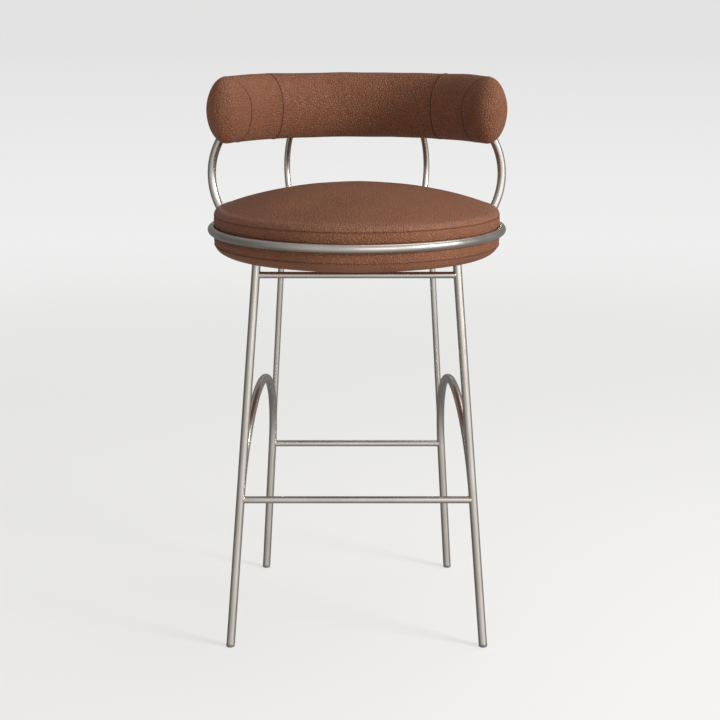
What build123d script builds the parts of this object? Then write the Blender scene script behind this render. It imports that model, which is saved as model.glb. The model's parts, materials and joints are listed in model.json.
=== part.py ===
from build123d import *
import os
from math import asin, cos, degrees, hypot, radians, sin, tan

# Bar stool with a footrest, in millimetres. +Z is up, the sitter faces -Y, and "right" is +X.
# The origin is on the floor, under the centre of the bounding box.

# --- Driving dimensions -------------------------------------------------------------------

hoop_radius = 250.0            # centreline of the hoop round the seat
hoop_diameter = 15.0
hoop_height = 697.0
wall = 1.5                     # wall of every tube that is hollow

leg_diameter = 14.5            # front legs, and the bent tubes that are arch and rear leg
rail_diameter = 12.0
thin_diameter = 11.0           # rear struts, rear uprights and the rail under the seat
front_foot = (216.5, -185.5)   # from the seat's axis, on the floor
rear_foot = (177.0, 204.0)
side_lean = 3.9                # degrees that the plane of each side's legs leans inwards
front_rake = 5.08              # degrees, in that plane
rear_rake = 3.34
arch_centre_height = 246.0
rail_height = 256.0            # footrest and rear rail
top_rail_height = 636.0

seat_radius = 247.0
seat_bottom = 655.0
lower_seam = 672.0
upper_seam = 722.0
seat_crown = 774.0
seat_edge_height = 731.0       # where the dome would meet the seat's side
seat_edge_round = 11.0
leather = 2.0

pad_height = 122.0             # oval section of the back pad
pad_thickness = 70.0
pad_centre_height = 893.0
pad_end = 68.0                 # degrees from the back at which the domed ends begin
inner_seam = 38.0
outer_seam = 59.5

side_upright_angle = 67.2      # degrees from the back
rear_upright_angle = 27.7
upright_bulge = 31.6           # how far the uprights bow outwards
upright_rise = 80.3            # half of their height

base_thickness = 15.0          # plywood under the seat
deck_thickness = 9.0           # plywood under the dome of foam
board_radius = 230.0
rim_width = 18.0
plate_diameter = 34.0          # plates on the leg tops
plate_thickness = 4.0
plate_hole_pitch = 24.0
plate_shift = 9.0              # of the plates' centres from the legs, towards the seat's axis
screw_diameter = 5.0
hoop_fixings = 6
back_fixings = 5
slack = 0.3                    # between pieces that only rest near each other
glide_height = 5.0
glide_chamfer = 0.8
spigot_height = 12.0           # of the glide, inside the leg
spigot_clearance = 0.1

# --- Derived values -----------------------------------------------------------------------

seat_back_reach = hoop_radius + pad_thickness / 2
seat_front_reach = hoop_radius + hoop_diameter / 2
seat_y = (seat_front_reach - seat_back_reach) / 2
seat_axis = Axis((0, seat_y, 0), (0, 0, 1))
bar_height = hoop_height + 2 * upright_rise
upright_radius = (upright_rise**2 + upright_bulge**2) / (2 * upright_bulge)
foot_span = hypot(front_foot[0] - rear_foot[0], rear_foot[1] - front_foot[1])
board_bottom = seat_bottom + leather
base_top = board_bottom + base_thickness
deck_top = upper_seam - 1.0
deck_bottom = deck_top - deck_thickness
leg_top = board_bottom         # the legs pass through the leather to plates let into the board
plate_top = leg_top + plate_thickness


# --- Helpers ------------------------------------------------------------------------------

def radial_plane(angle):
    """The upright plane through the seat's axis, at an angle from the back towards +X."""
    outwards = Vector(sin(radians(angle)), cos(radians(angle)), 0)
    return Plane(origin=(0, seat_y, 0), x_dir=outwards, z_dir=outwards.cross(Vector(0, 0, 1)))


def side_plane(sign):
    """The leaning plane of one side's legs: local X runs from front foot to rear foot."""
    front = Vector(sign * front_foot[0], front_foot[1] + seat_y, 0)
    rear = Vector(sign * rear_foot[0], rear_foot[1] + seat_y, 0)
    along = (rear - front).normalized()
    level = Vector(along.Y, -along.X, 0)
    normal = level * cos(radians(side_lean)) + Vector(0, 0, sign * sin(radians(side_lean)))
    return Plane(origin=front, x_dir=along, z_dir=normal)


def tube(path, diameter, thickness=0.0):
    """A round tube along a path, or a solid bar where the thickness is 0."""
    with BuildPart() as piece:
        with BuildSketch(Plane(origin=path @ 0, z_dir=path % 0)):
            Circle(diameter / 2)
            if thickness > 0:
                Circle(diameter / 2 - thickness, mode=Mode.SUBTRACT)
        sweep(path=path)
    return piece.part


def finish(builder, label):
    """Labels a finished piece and writes it."""
    builder.part.label = label
    export_step(builder.part, f"parts/{label}.step")


def finish_pair(builder, label):
    """Writes a piece made on the right, and its mirror image on the left."""
    finish(builder, f"{label}_right")
    with BuildPart() as twin:
        add(mirror(builder.part, about=Plane.YZ, mode=Mode.PRIVATE))
    finish(twin, f"{label}_left")


os.makedirs("parts", exist_ok=True)

# --- Centrelines of one side's legs, in its leaning plane ----------------------------------

up_plane = 1 / cos(radians(side_lean))
leg_reach = lower_seam * up_plane   # past the seat's underside, to be cut level there
front_slope = tan(radians(front_rake))
rear_slope = tan(radians(rear_rake))
front_rise = cos(radians(front_rake))
rear_rise = cos(radians(rear_rake))


def front_leg_at(height):
    """The point of the front leg's line, at a height in the leaning plane."""
    return (height * front_slope, height)


def rear_leg_at(height):
    """The point of the rear leg's line, at a height in the leaning plane."""
    return (foot_span - height * rear_slope, height)


# The arch is a part circle that is tangent to both leg lines.
arch_radius = (foot_span - arch_centre_height * (front_slope + rear_slope)) / (
    1 / front_rise + 1 / rear_rise
)
arch_spring = arch_centre_height + arch_radius * sin(radians(rear_rake))
arch_stop = 7.0                # degrees left before the arch lies in the front leg's line
arch_sweep = 180.0 - front_rake - rear_rake - arch_stop
strut_stop = 262.0             # where the strut's centreline lies well inside the arch tube


def leg_lines(sign):
    """Centrelines of the front leg, the bent rear leg and the rear strut."""
    plane = side_plane(sign)
    with BuildLine(plane) as front:
        Line(front_leg_at(0), front_leg_at(leg_reach))
    with BuildLine(plane) as bent:
        shin = Line(rear_leg_at(0), rear_leg_at(arch_spring))
        JernArc(shin @ 1, shin % 1, arch_radius, arch_sweep)
    with BuildLine(plane) as strut:
        Line(rear_leg_at(strut_stop), rear_leg_at(leg_reach))
    return front.wire(), bent.wire(), strut.wire()


# --- Legs, arches and struts ---------------------------------------------------------------

front_line, bent_line, strut_line = leg_lines(1)
front_solid = tube(front_line, leg_diameter)
bent_solid = tube(bent_line, leg_diameter)

with BuildPart() as front_leg:
    add(tube(front_line, leg_diameter, wall))
    split(bisect_by=Plane.XY.offset(glide_height), keep=Keep.TOP)
    split(bisect_by=Plane.XY.offset(leg_top), keep=Keep.BOTTOM)
finish_pair(front_leg, "front_leg")

with BuildPart() as rear_leg_arch:
    add(tube(bent_line, leg_diameter, wall))
    add(front_solid, mode=Mode.SUBTRACT)
    split(bisect_by=Plane.XY.offset(glide_height), keep=Keep.TOP)
finish_pair(rear_leg_arch, "rear_leg_arch")

with BuildPart() as rear_strut:
    add(tube(strut_line, thin_diameter))
    add(bent_solid, mode=Mode.SUBTRACT)
    split(bisect_by=Plane.XY.offset(leg_top), keep=Keep.BOTTOM)
finish_pair(rear_strut, "rear_strut")


def point_at_height(line, height):
    """The point of a leg's straight centreline at a height above the floor."""
    start = line @ 0
    way = line % 0
    return start + way * ((height - start.Z) / way.Z)


# --- Cross rails ---------------------------------------------------------------------------

for label, line, height, diameter in (
    ("top_rail", front_line, top_rail_height, thin_diameter),
    ("footrest_rail", front_line, rail_height, rail_diameter),
    ("rear_rail", bent_line, rail_height, rail_diameter),
):
    end = point_at_height(line, height)
    low = point_at_height(line, height - 2 * leg_diameter)
    high = point_at_height(line, height + 2 * leg_diameter)
    with BuildLine() as rail_line:
        Line((-end.X, end.Y, end.Z), end)
    with BuildLine() as leg_line:
        Line(low, high)
    leg_piece = tube(leg_line.wire(), leg_diameter)
    with BuildPart() as rail:
        add(tube(rail_line.wire(), diameter))
        add(leg_piece, mode=Mode.SUBTRACT)
        add(mirror(leg_piece, about=Plane.YZ, mode=Mode.PRIVATE), mode=Mode.SUBTRACT)
    finish(rail, label)

# --- Glides and leg plates -----------------------------------------------------------------

screw_head_radius = 4.5
screw_head_height = 2.0
plate_spots = []
screw_spots = []
for place, foot_line, top_line in (
    ("front", front_line, front_line),
    ("rear", bent_line, strut_line),
):
    foot = foot_line @ 0
    axis_way = foot_line % 0
    with BuildPart() as glide:
        with BuildSketch(Plane.XY):
            with Locations((foot.X, foot.Y)):
                Circle(leg_diameter / 2)
        extrude(amount=glide_height)
        with BuildSketch(Plane(origin=foot + axis_way * glide_height, z_dir=axis_way)):
            Circle(leg_diameter / 2 - wall - spigot_clearance)
        extrude(amount=spigot_height)
        chamfer(glide.edges().sort_by(Axis.Z)[0], glide_chamfer)
    finish_pair(glide, f"foot_glide_{place}")

    top = point_at_height(top_line, leg_top)
    towards_seat = (Vector(0, seat_y, top.Z) - top).normalized()
    middle = top + towards_seat * plate_shift
    plate_spots.append(middle)
    across = towards_seat.cross(Vector(0, 0, 1))
    holes = [middle + across * (k * plate_hole_pitch / 2) for k in (-1, 1)]
    with BuildPart() as plate:
        with BuildSketch(Plane.XY.offset(leg_top)):
            with Locations((middle.X, middle.Y)):
                Circle(plate_diameter / 2)
        extrude(amount=plate_thickness)
        with Locations(*[(hole.X, hole.Y, leg_top) for hole in holes]):
            Cylinder(screw_diameter / 2, 2 * plate_thickness, mode=Mode.SUBTRACT)
            Cylinder(screw_head_radius, 2 * screw_head_height, mode=Mode.SUBTRACT)
    finish_pair(plate, f"leg_plate_{place}")
    screw_spots += [(sign * hole.X, hole.Y) for hole in holes for sign in (-1, 1)]

screw_tip = plate_top + 8.0
nut_diameter = 8.0
nut_flange = 1.2

with BuildPart() as leg_screws:
    with BuildSketch(Plane.XY.offset(leg_top)):
        with Locations(*screw_spots):
            Circle(screw_diameter / 2)
    extrude(amount=screw_tip - leg_top)
    with BuildSketch(Plane.XY.offset(leg_top)):
        with Locations(*screw_spots):
            Circle(screw_head_radius)
    extrude(amount=screw_head_height)
finish(leg_screws, "leg_screws")

with BuildPart() as leg_nuts:
    with BuildSketch(Plane.XY.offset(plate_top)):
        with Locations(*screw_spots):
            Circle(nut_diameter / 2)
            Circle(screw_diameter / 2, mode=Mode.SUBTRACT)
    extrude(amount=base_top - plate_top)
    with BuildSketch(Plane.XY.offset(base_top)):
        with Locations(*screw_spots):
            Circle(nut_diameter)
            Circle(screw_diameter / 2, mode=Mode.SUBTRACT)
    extrude(amount=nut_flange)
finish(leg_nuts, "leg_nuts")

# --- Hoop and what holds it to the seat ------------------------------------------------------

with BuildPart() as hoop:
    with BuildSketch(radial_plane(0)):
        with Locations((hoop_radius, hoop_height)):
            Circle(hoop_diameter / 2)
            Circle(hoop_diameter / 2 - wall, mode=Mode.SUBTRACT)
    revolve(axis=seat_axis)
finish(hoop, "hoop")

with BuildPart(mode=Mode.PRIVATE) as hoop_solid:
    with BuildSketch(radial_plane(0)):
        with Locations((hoop_radius, hoop_height)):
            Circle(hoop_diameter / 2)
    revolve(axis=seat_axis)

boss_diameter = 10.0
boss_bite = 0.5                # how far the bosses start inside the rim, to be trimmed to it
bore_depth = 9.0               # of the bosses, past the rim
thread_reach = 8.0             # of the screws, past the rim
head_height = 3.0
head_clearance = 0.2


def fixing_line(angle, near, far):
    """A level line out from the seat's axis, at the hoop's height."""
    plane = radial_plane(angle)
    with BuildLine(plane) as line:
        Line((near, hoop_height), (far, hoop_height))
    return line.wire()


fixing_angles = [(k + 0.5) * 360 / hoop_fixings for k in range(hoop_fixings)]
with BuildPart() as boss_solids:
    for angle in fixing_angles:
        add(tube(fixing_line(angle, board_radius - boss_bite, hoop_radius), boss_diameter))
    add(hoop_solid.part, mode=Mode.SUBTRACT)

with BuildPart() as hoop_bosses:
    add(boss_solids.part)
    with BuildSketch(Plane.XY.offset(hoop_height - boss_diameter)):
        with Locations((0, seat_y)):
            Circle(board_radius)
    extrude(amount=2 * boss_diameter, mode=Mode.SUBTRACT)
    for angle in fixing_angles:
        bore = fixing_line(angle, board_radius - 2 * boss_bite, board_radius + bore_depth)
        add(tube(bore, screw_diameter), mode=Mode.SUBTRACT)
finish(hoop_bosses, "hoop_bosses")

inner_face = board_radius - rim_width - head_clearance
with BuildPart() as hoop_screws:
    for angle in fixing_angles:
        add(tube(fixing_line(angle, inner_face, board_radius + thread_reach), screw_diameter))
        add(tube(fixing_line(angle, inner_face - head_height, inner_face), 2 * screw_head_radius))
finish(hoop_screws, "hoop_screws")

# --- Seat: plywood drum, foam and leather ----------------------------------------------------

base_chamfer = 8.0

with BuildPart() as seat_base_board:
    with BuildSketch(Plane.XY.offset(board_bottom)):
        with Locations((0, seat_y)):
            Circle(board_radius)
    extrude(amount=base_thickness)
    with BuildSketch(Plane.XY.offset(board_bottom)):
        with Locations(*screw_spots):
            Circle(nut_diameter / 2)
    extrude(amount=base_thickness, mode=Mode.SUBTRACT)
    for spot in plate_spots:
        with Locations((spot.X, spot.Y, board_bottom), (-spot.X, spot.Y, board_bottom)):
            Cylinder(plate_diameter / 2 + slack, 2 * plate_thickness, mode=Mode.SUBTRACT)
    lower_edges = seat_base_board.edges().filter_by(GeomType.CIRCLE).group_by(Axis.Z)[0]
    chamfer(lower_edges.sort_by(SortBy.RADIUS)[-1], base_chamfer)
finish(seat_base_board, "seat_base_board")

with BuildPart() as seat_rim:
    with BuildSketch(Plane.XY.offset(base_top)):
        with Locations((0, seat_y)):
            Circle(board_radius)
            Circle(board_radius - rim_width, mode=Mode.SUBTRACT)
    extrude(amount=deck_bottom - base_top)
    for angle in fixing_angles:
        shank = fixing_line(angle, board_radius - 2 * rim_width, board_radius + rim_width)
        add(tube(shank, screw_diameter), mode=Mode.SUBTRACT)
    add(leg_nuts.part, mode=Mode.SUBTRACT)
finish(seat_rim, "seat_rim")

with BuildPart() as seat_deck:
    with BuildSketch(Plane.XY.offset(deck_bottom)):
        with Locations((0, seat_y)):
            Circle(board_radius)
    extrude(amount=deck_thickness)
finish(seat_deck, "seat_deck")


def groove(clearance):
    """The ring-shaped bite that the hoop takes out of the seat's side."""
    with BuildPart() as bite:
        with BuildSketch(radial_plane(0)):
            with Locations((hoop_radius, hoop_height)):
                Circle(hoop_diameter / 2 + clearance)
        revolve(axis=seat_axis)
    return bite.part


with BuildPart() as seat_band_foam:
    with BuildSketch(Plane.XY.offset(lower_seam)):
        with Locations((0, seat_y)):
            Circle(seat_radius - leather)
            Circle(board_radius, mode=Mode.SUBTRACT)
    extrude(amount=deck_top - lower_seam)
    add(groove(leather), mode=Mode.SUBTRACT)
    add(boss_solids.part, mode=Mode.SUBTRACT)
finish(seat_band_foam, "seat_band_foam")

band_turn = 5.0                # how far the band's leather is turned in at its seams

with BuildPart() as seat_side_band:
    with BuildSketch(radial_plane(0)):
        with BuildLine():
            Polyline((seat_radius - band_turn, lower_seam), (seat_radius, lower_seam),
                     (seat_radius, upper_seam), (seat_radius - band_turn, upper_seam), close=True)
        make_face()
        with BuildLine():
            Polyline((0, lower_seam), (seat_radius - leather, lower_seam),
                     (seat_radius - leather, upper_seam), (0, upper_seam), close=True)
        make_face(mode=Mode.SUBTRACT)
        with Locations((hoop_radius, hoop_height)):
            Circle(hoop_diameter / 2 + leather)
        with BuildLine():
            Polyline((seat_radius, lower_seam), (2 * seat_radius, lower_seam),
                     (2 * seat_radius, upper_seam), (seat_radius, upper_seam), close=True)
        make_face(mode=Mode.SUBTRACT)
        with Locations((hoop_radius, hoop_height)):
            Circle(hoop_diameter / 2, mode=Mode.SUBTRACT)
    revolve(axis=seat_axis)
    add(boss_solids.part, mode=Mode.SUBTRACT)
finish(seat_side_band, "seat_side_band")


def dome(inset, bottom):
    """The seat's crowned top, down to a level, inset by a thickness."""
    radius = seat_radius - inset
    crown = seat_crown - inset
    edge = seat_edge_height - inset
    sagitta = crown - edge
    sphere = (radius**2 + sagitta**2) / (2 * sagitta)
    half = degrees(asin(radius / sphere))
    with BuildPart() as solid:
        with BuildSketch(radial_plane(0)) as profile:
            with BuildLine():
                Polyline((0, crown), (0, bottom), (radius, bottom), (radius, edge))
                CenterArc((0, crown - sphere), sphere, 90 - half, half)
            make_face()
            fillet(profile.vertices().group_by(Axis.X)[-1].sort_by(Axis.Y)[-1], seat_edge_round - inset)
        revolve(axis=seat_axis)
    return solid.part


with BuildPart() as seat_foam:
    add(dome(leather, deck_top))
finish(seat_foam, "seat_foam")

with BuildPart() as seat_top_cover:
    add(dome(0, upper_seam))
    add(dome(leather, deck_top), mode=Mode.SUBTRACT)
finish(seat_top_cover, "seat_top_cover")

under_inset = 24.0             # how far in the underside stays level


def underside(inset):
    """The rounded bottom of the seat, up to the lower seam."""
    with BuildPart() as solid:
        with BuildSketch(radial_plane(0)):
            with BuildLine():
                flat = Line((0, seat_bottom + inset), (seat_radius - under_inset, seat_bottom + inset))
                turn = TangentArc(flat @ 1, (seat_radius - inset, lower_seam), tangent=flat % 1)
                Polyline(turn @ 1, (0, lower_seam), flat @ 0)
            make_face()
        revolve(axis=seat_axis)
    return solid.part


with BuildPart() as seat_bottom_cover:
    add(underside(0))
    add(underside(leather), mode=Mode.SUBTRACT)
    for line, diameter in ((front_line, leg_diameter), (strut_line, thin_diameter)):
        leg_hole = tube(line, diameter + 2 * slack)
        add(leg_hole, mode=Mode.SUBTRACT)
        add(mirror(leg_hole, about=Plane.YZ, mode=Mode.PRIVATE), mode=Mode.SUBTRACT)
finish(seat_bottom_cover, "seat_bottom_cover")

# --- Back: uprights, inner bar and board, foam and five leather panels -------------------------

bar_end = pad_end - 2.0
bar_diameter = 12.0
board_half = 5.0               # half of the back board's thickness
board_foot = bar_height + bar_diameter / 2
board_top = pad_centre_height + 44.0

with BuildPart() as back_bar_solid:
    with BuildSketch(radial_plane(bar_end)):
        with Locations((hoop_radius, bar_height)):
            Circle(bar_diameter / 2)
    revolve(axis=seat_axis, revolution_arc=2 * bar_end)

with BuildPart() as back_board_solid:
    with BuildSketch(radial_plane(outer_seam)):
        with Locations((hoop_radius, (board_foot + board_top) / 2)):
            Rectangle(2 * board_half, board_top - board_foot)
    revolve(axis=seat_axis, revolution_arc=2 * outer_seam)

with BuildPart() as seat_guard:
    with BuildSketch(Plane.XY.offset(lower_seam)):
        with Locations((0, seat_y)):
            Circle(seat_radius)
    extrude(amount=upper_seam - lower_seam)


def upright_line(angle):
    """Centreline of an upright: an arc from the hoop to the bar, bowed outwards."""
    with BuildLine(radial_plane(angle)) as line:
        ThreePointArc((hoop_radius, hoop_height),
                      (hoop_radius + upright_bulge, hoop_height + upright_rise),
                      (hoop_radius, bar_height))
    return line.wire()


upright_solids = {}
for place, angle, diameter, thickness in (
    ("side", side_upright_angle, hoop_diameter, wall),
    ("rear", rear_upright_angle, thin_diameter, 0.0),
):
    line = upright_line(angle)
    upright_solids[place] = tube(line, diameter)
    with BuildPart() as upright:
        add(tube(line, diameter, thickness))
        add(hoop_solid.part, mode=Mode.SUBTRACT)
        add(seat_guard.part, mode=Mode.SUBTRACT)
        add(back_bar_solid.part, mode=Mode.SUBTRACT)
    finish_pair(upright, f"{place}_upright")


def back_screw_line(angle, low, high):
    """An upright line through the middle of the back board."""
    with BuildLine(radial_plane(angle)) as line:
        Line((hoop_radius, low), (hoop_radius, high))
    return line.wire()


back_angles = [(k - (back_fixings - 1) / 2) * inner_seam / 2 for k in range(back_fixings)]
back_screw_diameter = 4.0
back_head = 2.5
head_top = bar_height - bar_diameter / 2 - slack
screw_end = board_foot + 22.0
with BuildPart() as back_shanks:
    for angle in back_angles:
        add(tube(back_screw_line(angle, head_top, screw_end), back_screw_diameter))

with BuildPart() as back_screws:
    add(back_shanks.part)
    for angle in back_angles:
        add(tube(back_screw_line(angle, head_top - back_head, head_top), back_screw_diameter * 2))
finish(back_screws, "back_screws")

with BuildPart() as back_bar:
    add(back_bar_solid.part)
    add(back_shanks.part, mode=Mode.SUBTRACT)
finish(back_bar, "back_bar")

with BuildPart() as back_board:
    add(back_board_solid.part)
    add(back_shanks.part, mode=Mode.SUBTRACT)
finish(back_board, "back_board")


def pad_stretch(first, last, outer, inner=None):
    """The pad's oval section swept between two angles, solid or as a skin."""
    with BuildPart() as stretch:
        with BuildSketch(radial_plane(last)):
            with Locations((hoop_radius, pad_centre_height)):
                Ellipse(pad_thickness / 2 - outer, pad_height / 2 - outer)
                if inner is not None:
                    Ellipse(pad_thickness / 2 - inner, pad_height / 2 - inner, mode=Mode.SUBTRACT)
        revolve(axis=seat_axis, revolution_arc=last - first)
    return stretch.part


def pad_dome(sign, outer, inner=None):
    """A rounded end: the oval turned about its upright axis, and the half past the pad kept."""
    plane = radial_plane(sign * pad_end)
    centre = plane.from_local_coords(Vector(hoop_radius, pad_centre_height, 0))
    past_end = plane.z_dir * sign
    lengthways = Plane(origin=centre, x_dir=past_end, z_dir=past_end.cross(Vector(0, 0, 1)))
    with BuildPart() as end:
        with BuildSketch(lengthways):
            Ellipse(pad_thickness / 2 - outer, pad_height / 2 - outer)
            if inner is not None:
                Ellipse(pad_thickness / 2 - inner, pad_height / 2 - inner, mode=Mode.SUBTRACT)
            with Locations((-pad_thickness / 2, 0)):
                Rectangle(pad_thickness, 2 * pad_height, mode=Mode.SUBTRACT)
        revolve(axis=Axis(centre, (0, 0, 1)))
        split(bisect_by=Plane(origin=centre, x_dir=plane.x_dir, z_dir=past_end))
    return end.part


cavity_foot = head_top - back_head - slack
cavity_width = bar_diameter + 4 * slack

with BuildPart() as back_cavity:
    with BuildSketch(radial_plane(bar_end + slack)):
        with Locations((hoop_radius, (cavity_foot + board_top) / 2)):
            Rectangle(cavity_width, board_top - cavity_foot)
    revolve(axis=seat_axis, revolution_arc=2 * (bar_end + slack))

with BuildPart() as back_foam:
    add(pad_stretch(-pad_end, pad_end, leather))
    add(pad_dome(1, leather))
    add(pad_dome(-1, leather))
    add(back_cavity.part, mode=Mode.SUBTRACT)
    for solid in upright_solids.values():
        add(solid, mode=Mode.SUBTRACT)
        add(mirror(solid, about=Plane.YZ, mode=Mode.PRIVATE), mode=Mode.SUBTRACT)
finish(back_foam, "back_foam")

with BuildPart() as cover_centre:
    add(pad_stretch(-inner_seam, inner_seam, 0, leather))
    add(upright_solids["rear"], mode=Mode.SUBTRACT)
    add(mirror(upright_solids["rear"], about=Plane.YZ, mode=Mode.PRIVATE), mode=Mode.SUBTRACT)
finish(cover_centre, "back_cover_centre")

with BuildPart() as cover_side:
    add(pad_stretch(inner_seam, outer_seam, 0, leather))
finish_pair(cover_side, "back_cover_side")

side_post = upright_solids["side"]
for label, sign, first, last, post in (
    ("right", 1, outer_seam, pad_end, side_post),
    ("left", -1, -pad_end, -outer_seam, mirror(side_post, about=Plane.YZ, mode=Mode.PRIVATE)),
):
    with BuildPart() as cover_end:
        add(pad_stretch(first, last, 0, leather))
        add(pad_dome(sign, 0, leather))
        add(post, mode=Mode.SUBTRACT)
    finish(cover_end, f"back_cover_end_{label}")
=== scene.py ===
# %% [markdown]
# # A bar stool in pebbled brown leather and satin nickel
# The frame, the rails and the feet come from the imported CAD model, at their real size and place.
# This notebook loads that model, works out where the soft parts go from its boxes, and then makes
# the cushion, the back pad, the seams, the weld beads and every finish around it. Lengths are in
# metres, +Z is up and the sitter faces -Y.

# %% Load the frame
import json
from math import cos, hypot, pi, radians, sin, sqrt
import bpy
import bmesh
import numpy as np
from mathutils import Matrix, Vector, noise


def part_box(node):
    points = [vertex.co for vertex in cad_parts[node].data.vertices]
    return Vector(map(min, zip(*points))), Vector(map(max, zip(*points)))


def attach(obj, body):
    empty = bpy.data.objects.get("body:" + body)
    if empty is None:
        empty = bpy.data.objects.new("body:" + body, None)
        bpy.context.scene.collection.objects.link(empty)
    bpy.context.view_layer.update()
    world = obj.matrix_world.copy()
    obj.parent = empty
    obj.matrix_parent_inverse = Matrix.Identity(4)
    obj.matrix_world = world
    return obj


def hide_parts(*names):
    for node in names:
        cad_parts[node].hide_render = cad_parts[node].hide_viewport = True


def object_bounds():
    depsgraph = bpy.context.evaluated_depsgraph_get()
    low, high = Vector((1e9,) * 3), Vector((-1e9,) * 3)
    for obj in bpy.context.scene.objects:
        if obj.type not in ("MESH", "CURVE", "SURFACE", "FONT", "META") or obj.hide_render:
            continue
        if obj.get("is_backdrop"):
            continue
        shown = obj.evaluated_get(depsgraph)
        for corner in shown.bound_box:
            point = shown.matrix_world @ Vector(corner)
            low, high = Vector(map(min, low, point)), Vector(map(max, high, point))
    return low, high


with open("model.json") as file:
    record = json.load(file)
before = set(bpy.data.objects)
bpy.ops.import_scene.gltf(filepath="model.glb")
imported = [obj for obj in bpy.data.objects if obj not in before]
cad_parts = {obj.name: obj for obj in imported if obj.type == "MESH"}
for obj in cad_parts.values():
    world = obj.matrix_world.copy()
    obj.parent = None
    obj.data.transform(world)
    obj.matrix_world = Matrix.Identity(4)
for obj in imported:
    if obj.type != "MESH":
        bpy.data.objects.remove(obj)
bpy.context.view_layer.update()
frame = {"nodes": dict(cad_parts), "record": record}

# %% [markdown]
# ## Sizes from the frame
# A maker measures the frame before cutting leather. The hoop gives the seat's axis and the tube's
# size, the leather bands give the heights of the two seams, and the middle panel of the back gives
# the pad's oval section. Everything soft is built from these few numbers.

# %% Measure the frame
MM = 0.001
hoop_low, hoop_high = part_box("hoop")
tube_radius = (hoop_high.z - hoop_low.z) / 2
hoop_radius = (hoop_high.x - hoop_low.x) / 2 - tube_radius
hoop_height = (hoop_high.z + hoop_low.z) / 2
seat_y = (hoop_high.y + hoop_low.y) / 2

band_low, band_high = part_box("seat_side_band")
seat_radius = (band_high.x - band_low.x) / 2
lower_seam, upper_seam = band_low.z, band_high.z
seat_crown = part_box("seat_top_cover")[1].z
seat_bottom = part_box("seat_bottom_cover")[0].z

panel_low, panel_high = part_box("back_cover_centre")
pad_half_height = (panel_high.z - panel_low.z) / 2
pad_height = (panel_high.z + panel_low.z) / 2
pad_half_depth = panel_high.y - seat_y - hoop_radius
print(f"hoop {hoop_radius:.4f} at {hoop_height:.4f}, seat {seat_radius:.4f}, pad at {pad_height:.4f}")

# %% [markdown]
# ## Camera
# The stool is seen from the front at about the height of its back, slightly from above. A long
# lens is what a product photographer uses, because a wide one would make the feet run together.
# The small sideways shift keeps the stool a touch left of the middle.

# %% Make the camera
camera_data = bpy.data.cameras.new("camera")
camera_data.lens = 77.35
camera_data.sensor_width = 36.0
camera_data.shift_x = 0.0045
camera = bpy.data.objects.new("camera", camera_data)
camera_distance, camera_height, camera_dip = 2.667, 1.062, 12.69
camera.location = (0, seat_y - camera_distance, camera_height)
camera.rotation_euler = (radians(90 - camera_dip), 0, 0)
bpy.context.scene.collection.objects.link(camera)
bpy.context.scene.camera = camera
bpy.context.scene.view_settings.view_transform = "Standard"
print("camera at", tuple(round(v, 3) for v in camera.location))

# %% [markdown]
# ## Shader maths as Python
# Node graphs are easy to read when they are small. Here a socket is wrapped in a small class, so
# that an expression such as `1 - mask * 0.4` adds its Math nodes by itself. Every other node comes
# from one method, `node`, which takes the node's type, its settings and its inputs.

# %% Wrap a socket
def feed(tree, socket, value):
    """Links a wire to a socket, or sets the socket's own value."""
    if isinstance(value, Wire):
        tree.links.new(value.socket, socket)
    else:
        socket.default_value = value


class Wire:
    """A number that comes out of a node and can stand in a Python expression."""

    def __init__(self, tree, socket):
        self.tree = tree
        self.socket = socket

    def maths(self, operation, *values):
        node = self.tree.nodes.new("ShaderNodeMath")
        node.operation = operation
        for socket, value in zip(node.inputs, values):
            feed(self.tree, socket, value)
        return Wire(self.tree, node.outputs[0])

    def __add__(self, other):
        return self.maths("ADD", self, other)

    def __sub__(self, other):
        return self.maths("SUBTRACT", self, other)

    def __rsub__(self, other):
        return self.maths("SUBTRACT", other, self)

    def __mul__(self, other):
        return self.maths("MULTIPLY", self, other)

    def __truediv__(self, other):
        return self.maths("DIVIDE", self, other)

    def __pow__(self, other):
        return self.maths("POWER", self, other)

    __radd__ = __add__
    __rmul__ = __mul__

    def at_most(self, other):
        return self.maths("MINIMUM", self, other)

    def at_least(self, other):
        return self.maths("MAXIMUM", self, other)


# %% [markdown]
# A finish is one material: a Principled shader and the nodes in front of it. What is the same all
# over the surface is set on the shader's own sockets, and what changes is linked.

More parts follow.
